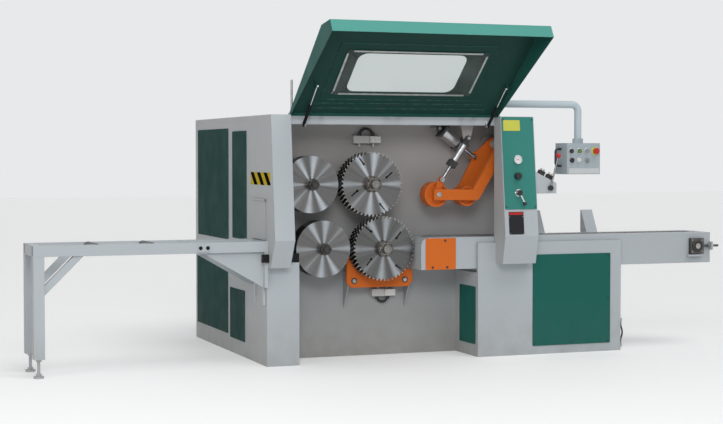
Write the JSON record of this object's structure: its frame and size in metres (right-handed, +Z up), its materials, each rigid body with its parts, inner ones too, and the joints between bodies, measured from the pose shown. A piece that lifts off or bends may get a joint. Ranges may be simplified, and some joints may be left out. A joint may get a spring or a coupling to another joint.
{
  "type": "log saw",
  "caption": "Floor-standing log saw with stacked blades on upper and lower arbors, a chain infeed bed, press rollers, a lift-up hood, a pendant control and an outfeed table.",
  "frame": {"origin": "on the floor, at the centre of the cabinet's footprint", "axes": "+X towards the infeed end, +Y to the rear of the cabinet, +Z up"},
  "size_m": [5.0355, 2.7603, 2.247],
  "materials": {
    "grey_paint": "warm light-grey powder coat",
    "green_paint": "dark green powder coat",
    "orange_paint": "orange enamel",
    "white_paint": "white powder coat",
    "motor_paint": "grey motor enamel",
    "blade_steel": "radially brushed",
    "machined_steel": "turned steel",
    "dark_steel": "oiled black steel",
    "polished_rod": "hard chrome",
    "cylinder_tube": "anodised tube",
    "strut_black": "black gas spring tube",
    "clear_sheet": "clear polycarbonate",
    "black_hose": "black rubber",
    "black_plastic": "black moulding",
    "gauge_chrome": "bright bezel",
    "green_button": "green cap",
    "grey_button": "grey cap",
    "red_button": "red mushroom head"
  },
  "bodies": {
    "frame": {"access_covers": "green_paint", "arbor_housings": "machined_steel", "base_frame": "grey_paint", "cable_loop": "black_hose", "chamber_back_plate": "grey_paint", "console_panel": "green_paint", "drive_motors": "motor_paint", "feed_chain": "dark_steel", "front_pillars": "grey_paint", "hinge_set": "machined_steel", "infeed_bed": "grey_paint", "left_wall": "grey_paint", "lower_bracket": "orange_paint", "nose_cover": "orange_paint", "outfeed_bracket": "grey_paint", "outfeed_table": "grey_paint", "press_mount": "machined_steel", "pressure_gauge": "gauge_chrome", "rear_wall": "grey_paint", "right_wall": "grey_paint", "roof_panel": "grey_paint", "slide_bar": "dark_steel", "spray_bars": "machined_steel", "spray_hoses": "black_hose", "wing_base": "grey_paint"},
    "hood": {"hood_shell": "green_paint", "hood_window": "clear_sheet", "window_frame": "cylinder_tube"},
    "strut_cylinders": {"strut_cylinders": "strut_black"},
    "strut_rods": {"strut_rods": "polished_rod"},
    "upper_saw": {"upper_arbor": "machined_steel", "upper_saw_blades": "blade_steel"},
    "lower_saw": {"lower_arbor": "machined_steel", "lower_saw_blades": "blade_steel"},
    "upper_disc": {"upper_disc": "blade_steel"},
    "lower_disc": {"lower_disc": "blade_steel"},
    "front_press_arm": {"front_press_arm": "orange_paint"},
    "rear_press_arm": {"rear_press_arm": "orange_paint"},
    "front_press_roller": {"front_press_roller": "orange_paint"},
    "rear_press_roller": {"rear_press_roller": "orange_paint"},
    "front_cylinder": {"front_cylinder": "cylinder_tube"},
    "front_cylinder_rod": {"front_cylinder_rod": "polished_rod"},
    "rear_cylinder": {"rear_cylinder": "cylinder_tube"},
    "rear_cylinder_rod": {"rear_cylinder_rod": "polished_rod"},
    "drive_sprocket": {"drive_sprocket": "machined_steel"},
    "take_up": {"take_up_blocks": "dark_steel"},
    "tail_sprocket": {"tail_sprocket": "machined_steel"},
    "outfeed_roller_1": {"outfeed_roller_1": "machined_steel"},
    "outfeed_roller_2": {"outfeed_roller_2": "machined_steel"},
    "outfeed_flap": {"outfeed_flap": "grey_paint"},
    "regulator_knob": {"regulator_knob": "black_plastic"},
    "console_lever": {"console_lever": "polished_rod"},
    "hand_lever": {"hand_lever": "polished_rod"},
    "pendant_arm": {"pendant_arm": "white_paint"},
    "pendant_box": {"pendant_box": "grey_paint", "pendant_handle": "black_plastic"},
    "forward_button": {"forward_button": "black_plastic"},
    "start_button": {"start_button": "green_button"},
    "reverse_button": {"reverse_button": "grey_button"},
    "emergency_stop": {"emergency_stop": "red_button"}
  },
  "joints": [
    {"name": "hood_hinge", "type": "hinge", "parent": "frame", "child": "hood", "pos_m": [0, -0.965, 1.684], "axis": [1, 0, 0], "range_deg": [0, 119]},
    {"name": "strut_swing", "type": "hinge", "parent": "frame", "child": "strut_cylinders", "pos_m": [0, -0.941, 1.611], "axis": [1, 0, 0], "range_deg": [-1, 120.09]},
    {"name": "strut_stroke", "type": "slide", "parent": "strut_cylinders", "child": "strut_rods", "axis": [0, -0.7531, 0.6579], "range_m": [-0.1334, 0.001]},
    {"name": "upper_saw_spin", "type": "hinge", "parent": "frame", "child": "upper_saw", "pos_m": [-0.172, -0.76, 1.212], "axis": [0, 1, 0], "continuous": true},
    {"name": "lower_saw_spin", "type": "hinge", "parent": "frame", "child": "lower_saw", "pos_m": [-0.084, -0.76, 0.766], "axis": [0, 1, 0], "continuous": true},
    {"name": "upper_disc_spin", "type": "hinge", "parent": "frame", "child": "upper_disc", "pos_m": [-0.612, -0.76, 1.212], "axis": [0, 1, 0], "continuous": true},
    {"name": "lower_disc_spin", "type": "hinge", "parent": "frame", "child": "lower_disc", "pos_m": [-0.526, -0.76, 0.772], "axis": [0, 1, 0], "continuous": true},
    {"name": "front_arm_lift", "type": "hinge", "parent": "frame", "child": "front_press_arm", "pos_m": [0.82, -0.836, 1.49], "axis": [0, 1, 0], "range_deg": [-12, 4]},
    {"name": "rear_arm_lift", "type": "hinge", "parent": "frame", "child": "rear_press_arm", "pos_m": [0.82, -0.684, 1.49], "axis": [0, 1, 0], "range_deg": [-12, 4]},
    {"name": "front_roller_spin", "type": "hinge", "parent": "front_press_arm", "child": "front_press_roller", "pos_m": [0.319, -0.76, 1.136], "axis": [0, 1, 0], "continuous": true},
    {"name": "rear_roller_spin", "type": "hinge", "parent": "rear_press_arm", "child": "rear_press_roller", "pos_m": [0.554, -0.76, 1.122], "axis": [0, 1, 0], "continuous": true},
    {"name": "front_cylinder_swing", "type": "hinge", "parent": "frame", "child": "front_cylinder", "pos_m": [0.545, -0.843, 1.53], "axis": [0, 1, 0], "range_deg": [-15.84, 5.61]},
    {"name": "front_cylinder_stroke", "type": "slide", "parent": "front_cylinder", "child": "front_cylinder_rod", "axis": [-0.571, 0, -0.821], "range_m": [-0.019, 0.0549]},
    {"name": "rear_cylinder_swing", "type": "hinge", "parent": "frame", "child": "rear_cylinder", "pos_m": [0.385, -0.699, 1.6], "axis": [0, 1, 0], "range_deg": [-1.25, 2.75]},
    {"name": "rear_cylinder_stroke", "type": "slide", "parent": "rear_cylinder", "child": "rear_cylinder_rod", "axis": [0.8036, 0, -0.5952], "range_m": [-0.0133, 0.0378]},
    {"name": "drive_spin", "type": "hinge", "parent": "frame", "child": "drive_sprocket", "pos_m": [0.279, -0.76, 0.742], "axis": [0, 1, 0], "continuous": true},
    {"name": "take_up_slide", "type": "slide", "parent": "frame", "child": "take_up", "axis": [1, 0, 0], "range_m": [-0.03, 0]},
    {"name": "tail_spin", "type": "hinge", "parent": "take_up", "child": "tail_sprocket", "pos_m": [2.345, -0.76, 0.742], "axis": [0, 1, 0], "continuous": true},
    {"name": "outfeed_roller_1_spin", "type": "hinge", "parent": "frame", "child": "outfeed_roller_1", "pos_m": [-2.092, -0.76, 0.815], "axis": [0, 1, 0], "continuous": true},
    {"name": "outfeed_roller_2_spin", "type": "hinge", "parent": "frame", "child": "outfeed_roller_2", "pos_m": [-1.726, -0.76, 0.815], "axis": [0, 1, 0], "continuous": true},
    {"name": "flap_swing", "type": "hinge", "parent": "frame", "child": "outfeed_flap", "pos_m": [-0.969, -0.76, 1.112], "axis": [0, 1, 0], "range_deg": [0, 80]},
    {"name": "regulator_turn", "type": "hinge", "parent": "frame", "child": "regulator_knob", "pos_m": [0.812, -1.09099, 1.26616], "axis": [0, -0.9942, 0.1078], "range_deg": [0, 270]},
    {"name": "console_lever_turn", "type": "hinge", "parent": "frame", "child": "console_lever", "pos_m": [0.818, -1.10346, 1.15116], "axis": [0, -0.9942, 0.1078], "range_deg": [-30, 60]},
    {"name": "hand_lever_turn", "type": "hinge", "parent": "frame", "child": "hand_lever", "pos_m": [1.07, -1.081, 1.181], "axis": [0, 1, 0], "range_deg": [-25, 10]},
    {"name": "pendant_arm_swivel", "type": "hinge", "parent": "frame", "child": "pendant_arm", "pos_m": [0.72, -0.881, 1.7], "axis": [0, 0, 1], "range_deg": [-60, 40]},
    {"name": "pendant_box_swivel", "type": "hinge", "parent": "pendant_arm", "child": "pendant_box", "pos_m": [1.39, -0.881, 1.51], "axis": [0, 0, 1], "range_deg": [-45, 45]},
    {"name": "forward_press", "type": "slide", "parent": "pendant_box", "child": "forward_button", "axis": [0, 1, 0], "range_m": [0, 0.004], "stiffness_N_per_m": 600},
    {"name": "start_press", "type": "slide", "parent": "pendant_box", "child": "start_button", "axis": [0, 1, 0], "range_m": [0, 0.004], "stiffness_N_per_m": 600},
    {"name": "reverse_press", "type": "slide", "parent": "pendant_box", "child": "reverse_button", "axis": [0, 1, 0], "range_m": [0, 0.004], "stiffness_N_per_m": 600},
    {"name": "stop_press", "type": "slide", "parent": "pendant_box", "child": "emergency_stop", "axis": [0, 1, 0], "range_m": [0, 0.006], "stiffness_N_per_m": 800}
  ],
  "couplings": [
    {"joint": "strut_swing", "follows": "hood_hinge", "ratio": 1.0007},
    {"joint": "strut_stroke", "follows": "hood_hinge", "m_per_rad": -0.063758},
    {"joint": "front_cylinder_swing", "follows": "front_arm_lift", "ratio": 1.2785},
    {"joint": "front_cylinder_stroke", "follows": "front_arm_lift", "m_per_rad": -0.2572},
    {"joint": "rear_cylinder_swing", "follows": "rear_arm_lift", "ratio": -0.18728},
    {"joint": "rear_cylinder_stroke", "follows": "rear_arm_lift", "m_per_rad": -0.17564},
    {"joint": "tail_spin", "follows": "drive_spin", "ratio": 1}
  ]
}
